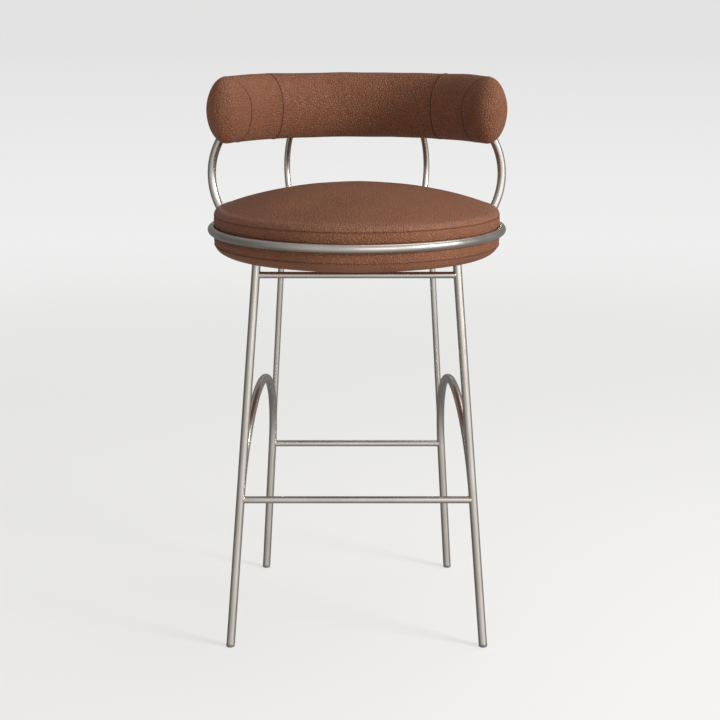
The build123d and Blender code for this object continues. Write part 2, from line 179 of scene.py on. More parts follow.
# %% Describe a finish
class Finish:
    """A material with one Principled shader, built node by node."""

    def __init__(self, name):
        self.material = bpy.data.materials.new(name)
        self.material.use_nodes = True
        self.tree = self.material.node_tree
        self.shader = self.tree.nodes["Principled BSDF"]
        self.place = self.node("ShaderNodeTexCoord", output="Object")

    def node(self, kind, settings=None, inputs=None, output=0):
        """Adds a node, sets it up, feeds its inputs and returns one of its outputs."""
        node = self.tree.nodes.new(kind)
        for name, value in (settings or {}).items():
            setattr(node, name, value)
        for name, value in (inputs or {}).items():
            feed(self.tree, node.inputs[name], value)
        return Wire(self.tree, node.outputs[output])

    def noise(self, scale, detail=3.0, roughness=0.5):
        return self.node("ShaderNodeTexNoise", inputs={
            "Vector": self.place, "Scale": scale, "Detail": detail, "Roughness": roughness})

    def cells(self, scale, feature="F1", output="Distance", vector=None):
        return self.node("ShaderNodeTexVoronoi", {"feature": feature}, {
            "Vector": vector or self.place, "Scale": scale}, output)

    def attribute(self, name):
        return self.node("ShaderNodeAttribute", {"attribute_name": name}, output="Fac")

    def between(self, low, high, value):
        """0 below low, 1 above high, and smooth in between."""
        return self.node("ShaderNodeMapRange", {"interpolation_type": "SMOOTHSTEP"}, {
            "Value": value, "From Min": low, "From Max": high})

    def blend(self, factor, first, second):
        """The first colour where the factor is 0, and the second where it is 1."""
        return self.node("ShaderNodeMix", {"data_type": "RGBA"}, {0: factor, 6: first, 7: second}, 2)

    def bump(self, height, strength, depth):
        normal = self.node("ShaderNodeBump", inputs={
            "Height": height, "Strength": strength, "Distance": depth}, output="Normal")
        feed(self.tree, self.shader.inputs["Normal"], normal)

    def set(self, **inputs):
        """Sets or links the shader's sockets: Base_Color stands for Base Color."""
        for name, value in inputs.items():
            feed(self.tree, self.shader.inputs[name.replace("_", " ")], value)


# %% [markdown]
# ## Leather
# The cover is full-grain leather with a pebbled surface, dyed a warm brown and semi-matt. Each
# pebble is a cell about four millimetres wide with a fine crease round it. Cells that are bent a
# little by noise look grown rather than drawn. The dye is uneven over a hand's width, the creases
# are painted darker as painted shade in them, and the hide is worn a little lighter along the edge
# of the seat. The closed seams are marked on the meshes with an attribute called `seam`, which is
# rougher here and painted darker, a painted shadow in the seam's groove, and the worn edge with one
# called `worn`.

# %% Leather
pebbles = 240.0                # cells in a metre
wander = 2.2 * MM              # how far noise bends them


def make_leather():
    leather = Finish("brown_leather")
    drift = leather.node("ShaderNodeTexNoise", inputs={
        "Vector": leather.place, "Scale": 260.0, "Detail": 2.0}, output="Color")
    bent = leather.node("ShaderNodeVectorMath", {"operation": "MULTIPLY_ADD"}, {
        0: drift, 1: (wander, wander, wander), 2: leather.place})
    crease = leather.between(0.0, 0.28, leather.cells(pebbles, "DISTANCE_TO_EDGE", vector=bent))
    tone = leather.cells(pebbles, output="Color", vector=bent)
    cloudy = leather.between(0.36, 0.64, leather.noise(7.0, 4.0, 0.55))
    mottle = leather.between(0.3, 0.7, leather.noise(90.0, 3.0, 0.6))
    seam = leather.attribute("seam")
    worn = leather.attribute("worn")

    colour = leather.blend(cloudy, (0.212, 0.076, 0.031, 1), (0.252, 0.095, 0.042, 1))
    colour = leather.blend(mottle * 0.22, colour, (0.285, 0.125, 0.078, 1))
    colour = leather.blend(tone * 0.10, colour, (0.150, 0.055, 0.030, 1))
    colour = leather.blend(worn * (0.15 + 0.25 * mottle), colour, (0.330, 0.160, 0.105, 1))
    # Painted shade: the creases between the pebbles are coloured darker, for the shade that falls in
    # them.
    colour = leather.blend((1 - crease) * 0.30, colour, (0.110, 0.040, 0.022, 1))
    # Painted shadow: a dark line along each closed seam, for the shade that falls in its groove.
    colour = leather.blend(seam * 0.85, colour, (0.060, 0.018, 0.009, 1))
    rough = 0.46 + 0.10 * cloudy - 0.06 * worn + 0.10 * (1 - crease) + 0.2 * seam
    leather.set(Base_Color=colour, Roughness=rough, Specular_IOR_Level=0.36)
    fine = leather.noise(1500.0, 2.0)
    leather.bump(crease * 0.8 + fine * 0.15, 1.0, 0.0013)
    return leather.material


leather_finish = make_leather()
print("leather nodes", len(leather_finish.node_tree.nodes))

# %% [markdown]
# ## Satin nickel
# The tubes are steel, ground smooth, plated with nickel and left satin, so that they mirror the
# room softly. Plating is never quite even: faint clouds change how rough it is, very fine grinding
# marks stay under it, and hands leave duller patches.

# %% Satin nickel
def make_nickel():
    nickel = Finish("satin_nickel")
    clouds = nickel.between(0.35, 0.68, nickel.noise(11.0, 4.0, 0.6))
    handled = nickel.between(0.52, 0.72, nickel.noise(38.0, 3.0, 0.55))
    grinding = nickel.noise(2400.0, 2.0)
    colour = nickel.blend(clouds, (0.600, 0.563, 0.525, 1), (0.660, 0.627, 0.590, 1))
    colour = nickel.blend(handled * 0.25, colour, (0.560, 0.515, 0.470, 1))
    rough = 0.22 + 0.05 * clouds + 0.07 * handled + 0.03 * grinding
    nickel.set(Base_Color=colour, Roughness=rough, Metallic=1.0)
    nickel.bump(grinding, 0.12, 0.00004)
    return nickel.material


nickel_finish = make_nickel()

# %% [markdown]
# ## The finishes that hardly show
# Screws and nuts are zinc plated, with a faint crystal pattern. The glides under the feet are a
# moulded nylon with a fine matt texture. The boards inside the seat are birch plywood, with its
# grain along the sheet and thin plies across it.

# %% Zinc, nylon and plywood
def make_zinc():
    zinc = Finish("zinc_steel")
    crystals = zinc.cells(900.0, output="Color")
    colour = zinc.blend(crystals, (0.50, 0.51, 0.52, 1), (0.66, 0.67, 0.69, 1))
    zinc.set(Base_Color=colour, Roughness=0.30 + 0.12 * crystals, Metallic=1.0)
    zinc.bump(crystals, 0.1, 0.00005)
    return zinc.material


def make_nylon():
    nylon = Finish("glide_plastic")
    grain = nylon.noise(1800.0, 2.0)
    scuffs = nylon.between(0.5, 0.75, nylon.noise(160.0, 4.0, 0.7))
    colour = nylon.blend(scuffs, (0.170, 0.155, 0.140, 1), (0.260, 0.240, 0.220, 1))
    nylon.set(Base_Color=colour, Roughness=0.5 + 0.15 * scuffs)
    nylon.bump(grain, 0.3, 0.0001)
    return nylon.material


def make_plywood():
    wood = Finish("plywood")
    stretched = wood.node("ShaderNodeMapping", inputs={"Vector": wood.place, "Scale": (1, 14, 14)})
    grain = wood.node("ShaderNodeTexNoise", inputs={
        "Vector": stretched, "Scale": 12.0, "Detail": 6.0, "Roughness": 0.6})
    plies = wood.node("ShaderNodeTexWave", {"bands_direction": "Z"}, {
        "Vector": wood.place, "Scale": 105.0, "Distortion": 0.4})
    colour = wood.blend(grain, (0.62, 0.44, 0.25, 1), (0.46, 0.29, 0.14, 1))
    colour = wood.blend(plies * 0.35, colour, (0.33, 0.19, 0.09, 1))
    wood.set(Base_Color=colour, Roughness=0.55 + 0.2 * grain)
    wood.bump(grain, 0.2, 0.0003)
    return wood.material


finishes = {
    "brown_leather": leather_finish,
    "satin_nickel": nickel_finish,
    "zinc_steel": make_zinc(),
    "glide_plastic": make_nylon(),
    "plywood": make_plywood(),
}

# %% [markdown]
# ## Dress the CAD parts
# Tubes, plates, glides and boards have the right shape already. Each keeps its mesh and only gets
# its finish, by the material slot that the record names for it.

# %% Give each CAD part its finish
slots = {part["node"]: part["material_slot"] for part in frame["record"]["subparts"]}
for name, node in frame["nodes"].items():
    finish = finishes.get(slots[name], leather_finish)
    for slot in node.material_slots:
        slot.material = finish
print(len(frame["nodes"]), "CAD parts, finishes", sorted(set(slots.values())))

# %% [markdown]
# ## Meshes from grids of points
# A cover is easiest to describe as rings of points. `ring_faces` joins neighbouring rings with
# quads, and each cover then closes its own two ends, with a disc or with a fan round a pole.
# Regular quads also stretch evenly when the cloth simulation blows them up.

# %% Helpers for meshes
def new_piece(name, points, faces, finish):
    """A mesh object at the origin, with its place in its vertices and smooth faces."""
    mesh = bpy.data.meshes.new(name)
    mesh.from_pydata([tuple(p) for p in points], [], faces)
    mesh.update()
    mesh.shade_smooth()
    mesh.materials.append(finish)
    piece = bpy.data.objects.new(name, mesh)
    bpy.context.scene.collection.objects.link(piece)
    return piece


def ring_faces(rows, columns):
    """Quads between neighbouring rings, which are closed round."""
    return [
        (r * columns + c, r * columns + (c + 1) % columns,
         (r + 1) * columns + (c + 1) % columns, (r + 1) * columns + c)
        for r in range(rows - 1) for c in range(columns)
    ]


def corners(piece):
    """The piece's vertices as an array of points."""
    values = np.empty(len(piece.data.vertices) * 3)
    piece.data.vertices.foreach_get("co", values)
    return values.reshape(-1, 3)


def move_corners(piece, points):
    """Puts the piece's vertices at an array of points."""
    piece.data.vertices.foreach_set("co", np.asarray(points).ravel())
    piece.data.update()


def paint(piece, name, values):
    """Stores a number for each vertex, which a finish can read by its name."""
    layer = piece.data.attributes.new(name, "FLOAT", "POINT")
    layer.data.foreach_set("value", np.asarray(values, dtype=np.float32))


def smooth_step(low, high, value):
    """0 below low, 1 above high, and smooth in between, for numbers or arrays."""
    part = np.clip((np.asarray(value, dtype=float) - low) / (high - low), 0, 1)
    return part * part * (3 - 2 * part)


# %% [markdown]
# ## Stuffing by cloth simulation
# Leather over foam is pushed out from inside and held back by its seams. Blender's Cloth does the
# same: the closed mesh gets a pressure, gravity is off, and the seams are pinned by a vertex group.
# The piece starts slightly too small, is pressed out for twenty frames, and no point may move further
# than a cap. The result is written into the mesh. The move is small: the seat's panels swell by less
# than half a millimetre on average, and the back pad hardly swells at all, because its round section
# resists the pressure. So both shapes come mostly from their outlines, and the free leather stays a
# millimetre or two inside the CAD surface.

# %% Blow up a cover
def iron(piece, move, rounds=6):
    """Averages each vertex's move with its neighbours', which takes out fine puckers."""
    pairs = np.empty(len(piece.data.edges) * 2, dtype=np.int64)
    piece.data.edges.foreach_get("vertices", pairs)
    first, second = pairs.reshape(-1, 2).T
    count = np.bincount(pairs, minlength=len(move))[:, None]
    for _ in range(rounds):
        total = np.zeros_like(move)
        np.add.at(total, first, move[second])
        np.add.at(total, second, move[first])
        move = (move + total / count) / 2
    return move


def stuff(piece, held, pressure, cap, frames=20):
    """Inflates a closed cover whose held vertices stay, and moves no point further than the cap."""
    before = corners(piece)
    group = piece.vertex_groups.new(name="held")
    for index, weight in enumerate(held):
        group.add([index], float(weight), "REPLACE")
    cloth = piece.modifiers.new("stuffing", "CLOTH")
    cloth.settings.vertex_group_mass = "held"
    cloth.settings.use_pressure = True
    cloth.settings.uniform_pressure_force = pressure
    cloth.settings.tension_stiffness = 25
    cloth.settings.compression_stiffness = 25
    cloth.settings.bending_stiffness = 5
    cloth.settings.effector_weights.gravity = 0
    cloth.point_cache.frame_end = frames
    for step in range(1, frames + 1):
        bpy.context.scene.frame_set(step)
    swollen = piece.evaluated_get(bpy.context.evaluated_depsgraph_get())
    after = np.empty(before.size)
    swollen.data.vertices.foreach_get("co", after)
    piece.modifiers.remove(cloth)
    piece.vertex_groups.remove(group)
    bpy.context.scene.frame_set(1)
    move = after.reshape(-1, 3) - before
    length = np.linalg.norm(move, axis=1, keepdims=True)
    reach = cap * np.tanh(length / cap)
    free = 1 - np.asarray(held)[:, None]
    move_corners(piece, before + iron(piece, move * reach / np.maximum(length, 1e-9)) * free)
    mean, most = length.mean() / MM, reach.max() / MM
    print(f"{piece.name}: swelled {mean:.1f} mm on average, kept to {most:.1f} mm")


# %% [markdown]
# ## The seat cushion
# The seat is a round drum: a crowned top panel, a side band in two bulging stretches with the hoop
# pressed into it between them, and a shallow underside that turns up to the lower seam. Its outline
# in one upright half plane is a chain of arcs. Turned round the axis it gives the whole cover, and
# the middle of the top and of the underside is a square grid bent into a disc, which has no pole.

# %% Outline of the seat
segments = 240                 # round the seat: four sides of the square grid, 60 quads each
crown_edge = 731 * MM          # where the dome would meet the upright side
corner_round = 11 * MM
disc_radius = 200 * MM         # the square grids reach this far
seam_depth = 1.2 * MM          # how deep a seam is pulled in
seam_lip = 0.9 * MM            # its lips are this far above and below it
lip_inset = 0.5 * MM
seam_margin = 2 * MM           # the band starts this far from its seams
seam_stop = 4                  # the arcs beside a seam stop this many degrees short
band_inset = 0.4 * MM
band_bulge = 1.0 * MM
groove_radius = 8.6 * MM       # of the hollow that the hoop presses into the band
groove_open = 65               # degrees either way from the hollow's middle
flat_radius = seat_radius - 24 * MM

sagitta = seat_crown - crown_edge
dome_sphere = (seat_radius**2 + sagitta**2) / (2 * sagitta)


def dome_height(radius):
    """Height of the crowned top at a distance from the axis."""
    return seat_crown - dome_sphere + np.sqrt(dome_sphere**2 - np.square(radius))


def arc(centre, radius, first, last, count):
    """Points of an arc in the (distance, height) plane, angles in degrees."""
    turns = np.radians(np.linspace(first, last, count))
    return [(centre[0] + radius * cos(a), centre[1] + radius * sin(a)) for a in turns]


def bulge(high, low, count):
    """A stretch of the side band between two heights, bowed outwards."""
    steps = np.linspace(1, -1, count)
    middle, half = (high + low) / 2, (high - low) / 2
    return [(seat_radius - band_inset + band_bulge * (1 - s * s), middle + s * half) for s in steps]


def seam_dip(height):
    """Three points across a closed seam, from above, with the middle one pulled in."""
    lip = seat_radius - lip_inset
    return [(lip, height + seam_lip), (seat_radius - seam_depth, height), (lip, height - seam_lip)]


corner_radius = seat_radius - corner_round
corner_slope = corner_radius / (dome_sphere - corner_round)
corner_height = seat_crown - dome_sphere + (dome_sphere - corner_round) * sqrt(1 - corner_slope**2)
tilt = 90 - np.degrees(np.arcsin(corner_slope))
dome_end = dome_sphere * corner_slope
turn_rise = lower_seam - seat_bottom
turn_run = seat_radius - flat_radius
turn_radius = (turn_run**2 + turn_rise**2) / (2 * turn_rise)
turn_angle = np.degrees(np.arcsin(turn_run / turn_radius))

outline = [(r, float(dome_height(r))) for r in np.linspace(disc_radius, dome_end, 12)[:-1]]
outline += arc((corner_radius, corner_height), corner_round, tilt, seam_stop, 7)
outline += seam_dip(upper_seam)
outline += bulge(upper_seam - seam_margin, hoop_height + groove_radius, 7)
outline += arc((hoop_radius, hoop_height), groove_radius, 180 - groove_open, 180 + groove_open, 9)
outline += bulge(hoop_height - groove_radius, lower_seam + seam_margin, 7)
outline += seam_dip(lower_seam)
outline += arc((flat_radius, seat_bottom + turn_radius), turn_radius,
               turn_angle - (90 + seam_stop), -90, 6)
outline += [(r, seat_bottom) for r in np.linspace(flat_radius, disc_radius, 6)[1:]]
print(f"dome sphere {dome_sphere:.3f}, corner at {corner_height:.4f}, {len(outline)} outline points")

# %% [markdown]
# The disc in the middle comes from a square grid: a point's ring is the larger of its two
# coordinates, and its place along that ring gives the angle. Its rim then has evenly spaced points,
# which the first ring of the outline shares.

# %% Build the cushion
half_side = segments // 8


def disc_points(radius):
    """A square grid bent into a disc, as (x, y) offsets from the axis."""
    points = []
    for row in range(-half_side, half_side + 1):
        for column in range(-half_side, half_side + 1):
            ring = max(abs(row), abs(column))
            if ring == 0:
                points.append((0.0, 0.0))
                continue
            if abs(column) == ring:
                angle = (0 if column > 0 else pi) + pi / 4 * row / column
            else:
                angle = (pi / 2 if row > 0 else -pi / 2) - pi / 4 * column / row
            reach = radius * ring / half_side
            points.append((reach * cos(angle), reach * sin(angle)))
    return points


edge_hold, edge_width = 0.6, 9 * MM        # the outermost strip swells less
seam_reach = 1.2 * MM                      # this near a seam everything is pinned
rest_depth = 2 * MM                        # this low the underside lies on its board
worn_from, worn_to, worn_rise = 225 * MM, 240 * MM, 4 * MM


def seam_gap(height):
    """How far a height is from the nearer of the two seams."""
    return min(abs(height - upper_seam), abs(height - lower_seam))


def held_at(distance, height):
    """How far a ring of the seat is held while it swells, from 0, free, to 1, pinned."""
    at_seam = seam_gap(height) < seam_reach
    in_groove = abs(height - hoop_height) < groove_radius
    rests = height < seat_bottom + rest_depth
    if at_seam or in_groove or rests:
        return 1.0
    return edge_hold if distance > seat_radius - edge_width else 0.0


def make_cushion(shrink):
    """The closed cover, made smaller by shrink wherever it is free to swell."""
    points, held, seam, worn = [], [], [], []
    turns = np.arange(segments) * 2 * pi / segments
    for distance, height in outline:
        pin = held_at(distance, height)
        inset = shrink * (1 - pin)
        drop = inset if height > upper_seam else 0
        radius = distance - inset * smooth_step(disc_radius, seat_radius, distance)
        points += [(radius * cos(a), seat_y + radius * sin(a), height - drop) for a in turns]
        gap = seam_gap(height)
        held += [pin] * segments
        # These seam numbers also say where the leather finish paints the dark shadow line of the
        # seam's groove.
        seam += [1.0 if gap < seam_lip / 3 else 0.25 if gap < seam_reach else 0.0] * segments
        worn += [float(smooth_step(upper_seam, upper_seam + worn_rise, height)
                       * smooth_step(worn_from, worn_to, distance))] * segments
    faces = ring_faces(len(outline), segments)
    count = 2 * half_side + 1
    for top in (True, False):
        start = len(points)
        for x, y in disc_points(disc_radius):
            height = float(dome_height(hypot(x, y))) - shrink if top else seat_bottom
            points.append((x, seat_y + y, height))
        held += [0.0 if top else 1.0] * count**2
        seam += [0.0] * count**2
        worn += [0.0] * count**2
        for row in range(count - 1):
            for column in range(count - 1):
                a = start + row * count + column
                faces.append((a, a + 1, a + count + 1, a + count))
    cushion = new_piece("seat_cushion", points, faces, leather_finish)
    paint(cushion, "seam", seam)
    paint(cushion, "worn", worn)
    paint(cushion, "pinned", held)
    return weld(cushion)


def weld(piece):
    """Merges the doubled rims and turns every face outwards."""
    shape = bmesh.new()
    shape.from_mesh(piece.data)
    bmesh.ops.remove_doubles(shape, verts=shape.verts, dist=0.05 * MM)
    bmesh.ops.recalc_face_normals(shape, faces=shape.faces)
    open_edges = sum(1 for edge in shape.edges if not edge.is_manifold)
    shape.to_mesh(piece.data)
    shape.free()
    print(f"{piece.name}: {len(piece.data.vertices)} vertices, {open_edges} open edges")
    return piece


def weights(piece, name):
    """Reads back the numbers that paint stored."""
    values = np.empty(len(piece.data.vertices), dtype=np.float32)
    piece.data.attributes[name].data.foreach_get("value", values)
    return values


cushion = make_cushion(shrink=2 * MM)
stuff(cushion, weights(cushion, "pinned"), pressure=4.0, cap=3.5 * MM)

# %% [markdown]
# Leather that has been sat on is never a perfect surface of revolution. Wide, shallow unevenness,
# well under a millimetre, breaks up the highlight on the crown. It comes from Blender's own noise,
# so it is the same in every run. One level of subdivision rounds what is left of the quads.

# %% Soften and finish the cushion
def settle(piece, size, depth):
    """Moves free vertices along their normals by smooth noise of a given size and depth."""
    free = 1 - weights(piece, "pinned")
    normals = np.empty(len(piece.data.vertices) * 3)
    piece.data.vertices.foreach_get("normal", normals)
    normals = normals.reshape(-1, 3)
    points = corners(piece)
    waves = np.array([noise.noise(Vector(p / size)) for p in points])
    move_corners(piece, points + normals * (waves * free * depth)[:, None])


def smooth_out(piece):
    """One level of subdivision, in the view and in the render."""
    surface = piece.modifiers.new("round", "SUBSURF")
    surface.levels = surface.render_levels = 1


settle(cushion, size=70 * MM, depth=0.9 * MM)
smooth_out(cushion)
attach(cushion, "root")
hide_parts("seat_top_cover", "seat_foam", "seat_side_band", "seat_band_foam",
            "seat_bottom_cover")

# %% [markdown]
# ## The back pad
# The back is a bolster with an oval section, bent round the sitter and closed by a domed end on
# each side. Four closed seams divide its leather into five panels. The seams stand upright, and near
# the top they lean towards the ends, because the pattern of the end panels is cut to a curve. The
# pad is made as rings along its length: rings lie close together at the seams, where the leather
# turns sharply inwards, and the rings of the domed ends shrink along a quarter circle.

# %% Shape of the pad
pad_end = 68.0                 # degrees from the back where the domed ends begin
inner_seam, outer_seam = 38.0, 59.5
inner_flare, outer_flare = 2.2, 8.0    # how far the seams lean at the top, in degrees
flare_power = 2.5              # the lean starts late and grows towards the top
end_blend = (50, 72)           # over these degrees the top comes down towards the ends
end_drop = 2.0 * MM
end_point = 0.08               # and its section grows a little more pointed
end_arc = np.degrees(pad_half_depth / hoop_radius)
pad_columns = 88
seam_space = 0.8               # degrees beside a seam that its own rings fill
seam_hold = 0.3                # degrees beside a seam that are pinned
seam_notches = (-0.62, -0.26, 0.0, 0.26, 0.62)
notch_depths = (0.0, 0.5 * MM, 2.2 * MM, 0.5 * MM, 0.0)


def ring_angles():
    """Angles of the rings on one side of the middle, and how deep each is pulled in."""
    steps = [(a, 0.0) for a in np.arange(0, pad_end + 0.1, 1.0)]
    for seam in (inner_seam, outer_seam):
        steps = [s for s in steps if abs(s[0] - seam) > seam_space]
        steps += [(seam + n, d) for n, d in zip(seam_notches, notch_depths)]
    cap_turns = (10, 20, 30, 39, 47, 54, 61, 67, 72, 77, 81, 85)
    steps += [(pad_end + end_arc * sin(radians(turn)), 0.0) for turn in cap_turns]
    return sorted(steps)


def flare_at(angle):
    """How far the top of a ring leans towards the end, in degrees."""
    return float(np.interp(angle, (0, inner_seam, outer_seam, pad_end + end_arc),
                           (0, inner_flare, outer_flare, 0)))


def pad_point(side, angle, turn, dip):
    """A point of the pad: side is -1 or 1, turn runs round the oval from its outer side."""
    rise = max(0.0, sin(turn))
    angle += flare_at(angle) * rise**flare_power
    near_end = float(smooth_step(*end_blend, angle)) if rise > 0 else 0.0
    power = 1 + end_point * near_end
    half_height = pad_half_height - end_drop * near_end
    out = (pad_half_depth - dip) * np.sign(cos(turn)) * abs(cos(turn))**power
    up = (half_height - dip) * np.sign(sin(turn)) * abs(sin(turn))**power
    along = max(0.0, radians(angle - pad_end) * hoop_radius)
    scale = sqrt(max(0.0, 1 - (along / pad_half_depth)**2))
    base = radians(min(angle, pad_end))
    reach = hoop_radius + out * scale
    x = reach * sin(base) + along * cos(base)
    y = reach * cos(base) - along * sin(base)
    return side * x, seat_y + y, pad_height + up * scale


def make_pad(shrink):
    """The bolster's closed cover, made smaller by shrink away from its seams."""
    half = ring_angles()
    rings = [(-1, a, d) for a, d in half[:0:-1]] + [(1, a, d) for a, d in half]
    points, held, seam = [], [], []
    for side, angle, depth in rings:
        near = min(abs(angle - inner_seam), abs(angle - outer_seam))
        pin = 1.0 if near < seam_hold else 0.0
        for column in range(pad_columns):
            turn = 2 * pi * column / pad_columns
            points.append(pad_point(side, angle, turn, depth + (0 if pin else shrink)))
            held.append(pin)
            # These seam numbers also say where the leather finish paints the dark shadow line of the
            # seam's groove.
            seam.append(1.0 if near < seam_hold / 3 else 0.5 if near < seam_hold else 0.0)
    faces = ring_faces(len(rings), pad_columns)
    tip = radians(pad_end)
    for side, first in ((-1, 0), (1, (len(rings) - 1) * pad_columns)):
        along = pad_half_depth - shrink
        points.append((side * (hoop_radius * sin(tip) + along * cos(tip)),
                       seat_y + hoop_radius * cos(tip) - along * sin(tip), pad_height))
        pole = len(points) - 1
        held.append(0.0)
        seam.append(0.0)
        for column in range(pad_columns):
            after = (column + 1) % pad_columns
            faces.append((first + column, first + after, pole))
    pad = new_piece("back_pad", points, faces, leather_finish)
    paint(pad, "seam", seam)
    paint(pad, "worn", np.zeros(len(points)))
    paint(pad, "pinned", held)
    return weld(pad)


pad = make_pad(shrink=1.6 * MM)
stuff(pad, weights(pad, "pinned"), pressure=4.0, cap=3.0 * MM)
settle(pad, size=60 * MM, depth=1.0 * MM)
smooth_out(pad)
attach(pad, "root")
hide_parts("back_foam", "back_cover_centre", "back_cover_side_left", "back_cover_side_right",
            "back_cover_end_left", "back_cover_end_right")

# %% [markdown]
# ## Pieces that Geometry Nodes grow along a path
# The hoop, the beads of weld and the stitches all follow a closed path. A node tree makes each of
# them from that path and a few named sizes, so the rule is written once. One tree sweeps a round
# section along the path; the other sets a small stitch at every step of it. Both end in real
# geometry with its material set, and the result is kept as a plain mesh, because an exported model
# can't hold instances or live node trees.

# %% Helpers for node trees
def node_tree(name, sizes):
    """An empty Geometry Nodes tree with a geometry input and named number inputs."""
    tree = bpy.data.node_groups.new(name, "GeometryNodeTree")
    tree.interface.new_socket("Geometry", in_out="INPUT", socket_type="NodeSocketGeometry")
    for size, kind in sizes.items():
        tree.interface.new_socket(size, in_out="INPUT", socket_type=kind)
    tree.interface.new_socket("Geometry", in_out="OUTPUT", socket_type="NodeSocketGeometry")
    return tree, tree.nodes.new("NodeGroupInput").outputs


def grow_node(tree, kind, settings=None, inputs=None):
    """Adds a node to a tree, sets it up and feeds its inputs, from sockets or with values."""
    node = tree.nodes.new(kind)
    for name, value in (settings or {}).items():
        setattr(node, name, value)
    for name, value in (inputs or {}).items():
        if isinstance(value, bpy.types.NodeSocket):
            tree.links.new(value, node.inputs[name])
        else:
            node.inputs[name].default_value = value
    return node


def close_tree(tree, geometry, finish):
    """Makes the instances real, smooths them, sets their material and ends the tree."""
    real = grow_node(tree, "GeometryNodeRealizeInstances", inputs={"Geometry": geometry})
    smooth = grow_node(tree, "GeometryNodeSetShadeSmooth", inputs={"Geometry": real.outputs[0]})
    named = grow_node(tree, "GeometryNodeSetMaterial", inputs={
        "Geometry": smooth.outputs[0], "Material": finish})
    end = tree.nodes.new("NodeGroupOutput")
    tree.links.new(named.outputs[0], end.inputs[0])
    return tree


def grow(name, loops, tree, sizes):
    """Runs a tree on closed loops of points and keeps what it makes as a plain mesh."""
    points, edges = [], []
    for loop in loops:
        start, count = len(points), len(loop)
        points += [tuple(p) for p in loop]
        edges += [(start + k, start + (k + 1) % count) for k in range(count)]
    mesh = bpy.data.meshes.new(name)
    mesh.from_pydata(points, edges, [])
    piece = bpy.data.objects.new(name, mesh)
    bpy.context.scene.collection.objects.link(piece)
    modifier = piece.modifiers.new("grow", "NODES")
    modifier.node_group = tree
    for item in tree.interface.items_tree:
        if item.in_out == "INPUT" and item.name in sizes:
            modifier[item.identifier] = sizes[item.name]
    grown = piece.evaluated_get(bpy.context.evaluated_depsgraph_get())
    piece.data = bpy.data.meshes.new_from_object(grown)
    piece.modifiers.clear()
    print(f"{name}: {len(piece.data.polygons)} faces")
    return piece


# %% Two trees
def tube_tree(name, finish):
    """Sweeps a round section along each loop."""
    tree, given = node_tree(name, {"Radius": "NodeSocketFloat", "Sides": "NodeSocketInt"})
    path = grow_node(tree, "GeometryNodeMeshToCurve", inputs={"Mesh": given["Geometry"]})
    section = grow_node(tree, "GeometryNodeCurvePrimitiveCircle", inputs={
        "Resolution": given["Sides"], "Radius": given["Radius"]})
    swept = grow_node(tree, "GeometryNodeCurveToMesh", inputs={
        "Curve": path.outputs[0], "Profile Curve": section.outputs[0]})
    return close_tree(tree, swept.outputs[0], finish)


def stitch_tree(name, finish):
    """Sets one stitch, a short thread with rounded ends, at every step along each loop."""
    tree, given = node_tree(name, {
        "Pitch": "NodeSocketFloat", "Length": "NodeSocketFloat", "Thread": "NodeSocketFloat"})
    path = grow_node(tree, "GeometryNodeMeshToCurve", inputs={"Mesh": given["Geometry"]})
    steps = grow_node(tree, "GeometryNodeResampleCurve", {"mode": "LENGTH"}, {
        "Curve": path.outputs[0], "Length": given["Pitch"]})
    thread = grow_node(tree, "GeometryNodeMeshUVSphere", inputs={
        "Segments": 6, "Rings": 4, "Radius": 0.5})
    size = grow_node(tree, "ShaderNodeCombineXYZ", inputs={
        "X": given["Length"], "Y": given["Thread"], "Z": given["Thread"]})
    tangent = grow_node(tree, "GeometryNodeInputTangent")
    turned = grow_node(tree, "FunctionNodeAlignRotationToVector", {"axis": "X"}, {
        "Vector": tangent.outputs[0]})
    placed = grow_node(tree, "GeometryNodeInstanceOnPoints", inputs={
        "Points": steps.outputs[0], "Instance": thread.outputs[0],
        "Rotation": turned.outputs[0], "Scale": size.outputs[0]})
    return close_tree(tree, placed.outputs[0], finish)


# %% [markdown]
# ### The hoop
# The hoop is one ring of tube. Its rule is simple, a circle swept along a circle, so a tree makes it
# with a much finer surface than the CAD triangles have. It is the brightest edge of the stool.

# %% Hoop
def circle_points(radius, height, count):
    """A level circle round the seat's axis."""
    turns = np.arange(count) * 2 * pi / count
    return [(radius * cos(a), seat_y + radius * sin(a), height) for a in turns]


tubes = tube_tree("tube_on_a_path", nickel_finish)
hoop = grow("hoop_ring", [circle_points(hoop_radius, hoop_height, 288)], tubes,
            {"Radius": tube_radius, "Sides": 32})
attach(hoop, "root")
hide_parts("hoop")

# %% [markdown]
# ### Weld beads
# Each rail ends on a leg, and each upright ends on the hoop, with a small ground bead of weld round
# the joint. Its path is where two round tubes meet: from every point round the thinner tube one
# travels along it until the distance from the other tube's axis is that tube's radius, which is the
# root of a quadratic. A bead less than a millimetre thick then follows the path.

# %% Where two tubes meet
def meeting_curve(start, way, thin, origin, axis, thick, count=40):
    """The loop in which a tube from start along way first meets another tube's surface."""
    way, axis = way.normalized(), axis.normalized()
    aside = way.orthogonal().normalized()
    upwards = way.cross(aside)
    across = way - axis * way.dot(axis)
    loop = []
    for k in range(count):
        turn = 2 * pi * k / count
        edge = start + (aside * cos(turn) + upwards * sin(turn)) * thin
        gap = edge - origin
        gap -= axis * gap.dot(axis)
        a, b, c = across.dot(across), 2 * gap.dot(across), gap.dot(gap) - thick**2
        travel = (-b - sqrt(max(0.0, b * b - 4 * a * c))) / (2 * a)
        loop.append(edge + way * travel)
    return loop


def leg_axis(place, top_node, top_way):
    """A leg's foot and its direction, from the boxes of its glide and of the tube at its top."""
    low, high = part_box(f"foot_glide_{place}_right")
    foot = Vector(((low.x + high.x) / 2, (low.y + high.y) / 2, 0))
    low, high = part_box(top_node)
    radius = thin_radius if place == "rear" else leg_radius
    y = high.y - radius if top_way > 0 else low.y + radius
    return foot, Vector((low.x + radius, y, high.z)) - foot


